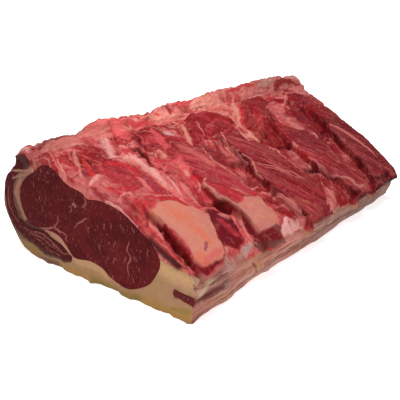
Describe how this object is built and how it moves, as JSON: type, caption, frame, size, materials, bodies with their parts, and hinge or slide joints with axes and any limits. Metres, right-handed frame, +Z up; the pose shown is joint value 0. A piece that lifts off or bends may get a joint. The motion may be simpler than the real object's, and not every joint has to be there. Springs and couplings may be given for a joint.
{
  "type": "beef striploin",
  "caption": "Boned-out beef striploin lying on its fat cap, rib side up, with straps of rib meat between grooves and a dark eye muscle at each cut end.",
  "frame": {"origin": "middle of the loin's box, on the flat foot of the fat cap that it lies on", "axes": "+X along the loin from the near cut end to the far end, +Y across it from the flank side to the spine side, +Z up from the fat cap to the rib side"},
  "size_m": [0.4108, 0.2156, 0.1055],
  "materials": {
    "fat": "cream to tan beef fat, yellow at the outer rim, moist",
    "eye_meat": "dark maroon cut meat with short pale marbling, moist",
    "cap_meat": "dark maroon cut meat with pale seams, moist",
    "flank_meat": "dark maroon cut meat, moist",
    "rib_side_meat": "bright red meat with fine pale fibres, pink fat pads and membrane, wet"
  },
  "bodies": {
    "root": {"fat_cap": "fat", "eye_muscle": "eye_meat", "cap_muscle": "cap_meat", "flank_muscle": "flank_meat", "rib_meat": "rib_side_meat"}
  },
  "joints": []
}
